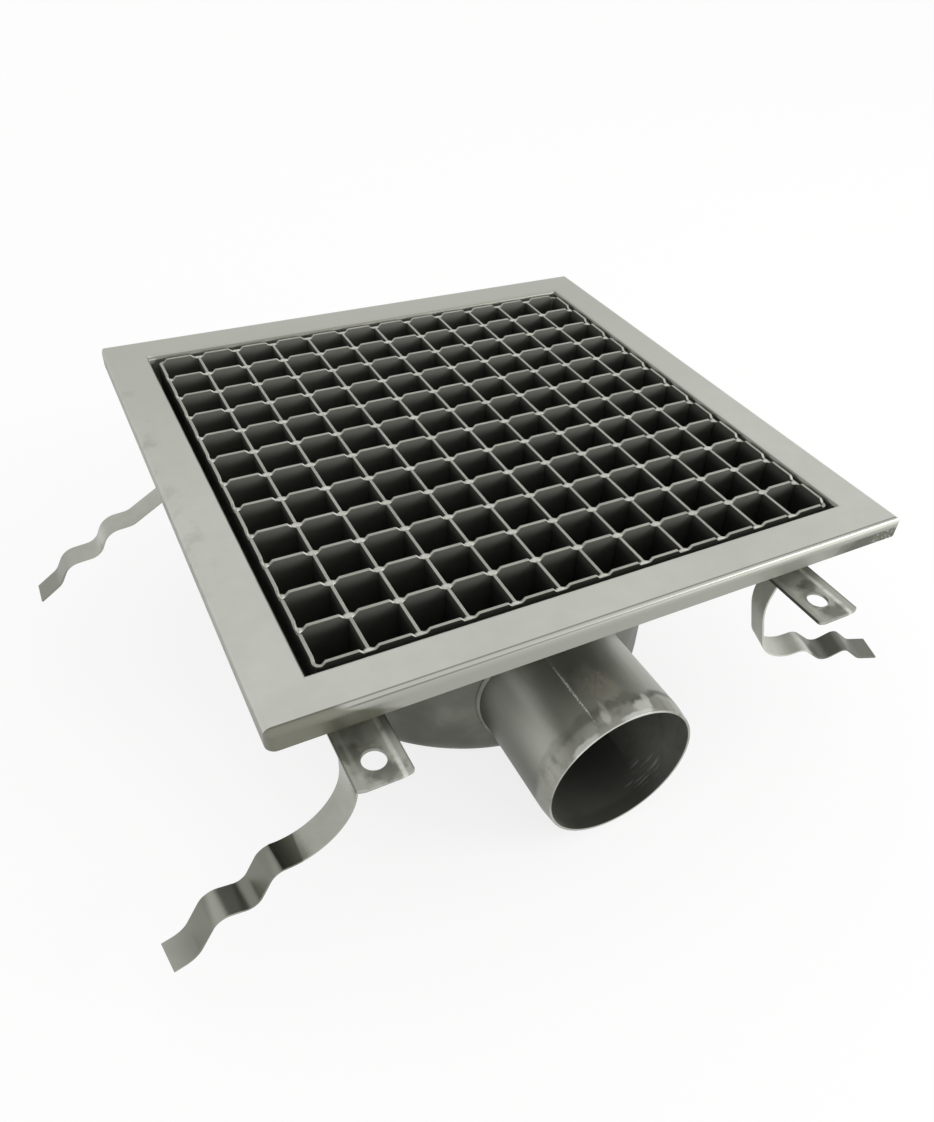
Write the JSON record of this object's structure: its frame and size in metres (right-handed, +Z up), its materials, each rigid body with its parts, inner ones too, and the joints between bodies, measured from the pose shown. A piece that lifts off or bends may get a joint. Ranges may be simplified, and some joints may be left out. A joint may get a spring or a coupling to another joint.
{
  "type": "gully trap",
  "caption": "Square stainless floor gully with a framed notched grating, a round bowl, a side outlet pipe, bent anchors and a lift-out bell trap.",
  "frame": {"origin": "centre of the bowl's flat base", "axes": "+Z up the bowl's axis to the grating, -Y along the outlet pipe out of the bowl, +X to the right seen from the outlet"},
  "size_m": [0.4286, 0.33, 0.135],
  "materials": {
    "frame_steel": "satin bead-blasted stainless sheet",
    "grating_steel": "pickled stainless strip",
    "bowl_steel": "pickled stainless sheet, dull",
    "pipe_steel": "rolled stainless tube with lengthwise marks",
    "strip_steel": "cut and bent stainless strip",
    "seal_rubber": "black rubber"
  },
  "bodies": {
    "root": {"anchor_back_left": "strip_steel", "anchor_back_right": "strip_steel", "anchor_front_left": "strip_steel", "anchor_front_right": "strip_steel", "bell_handle": "bowl_steel", "bowl": "bowl_steel", "frame_back": "frame_steel", "frame_front": "frame_steel", "frame_left": "frame_steel", "frame_right": "frame_steel", "grating_bearing_bar_01": "grating_steel", "grating_bearing_bar_02": "grating_steel", "grating_bearing_bar_03": "grating_steel", "grating_bearing_bar_04": "grating_steel", "grating_bearing_bar_05": "grating_steel", "grating_bearing_bar_06": "grating_steel", "grating_bearing_bar_07": "grating_steel", "grating_bearing_bar_08": "grating_steel", "grating_bearing_bar_09": "grating_steel", "grating_bearing_bar_10": "grating_steel", "grating_bearing_bar_11": "grating_steel", "grating_cross_bar_01": "grating_steel", "grating_cross_bar_02": "grating_steel", "grating_cross_bar_03": "grating_steel", "grating_cross_bar_04": "grating_steel", "grating_cross_bar_05": "grating_steel", "grating_cross_bar_06": "grating_steel", "grating_cross_bar_07": "grating_steel", "grating_cross_bar_08": "grating_steel", "grating_cross_bar_09": "grating_steel", "grating_cross_bar_10": "grating_steel", "grating_cross_bar_11": "grating_steel", "grating_rim_back": "grating_steel", "grating_rim_front": "grating_steel", "grating_rim_left": "grating_steel", "grating_rim_right": "grating_steel", "lug_left": "strip_steel", "lug_right": "strip_steel", "outlet_pipe": "pipe_steel", "outlet_weld": "bowl_steel", "trap_bell": "bowl_steel", "trap_cup": "bowl_steel", "trap_seal": "seal_rubber", "trap_seat_ring": "bowl_steel", "trap_standpipe": "bowl_steel", "tray": "bowl_steel"}
  },
  "joints": []
}
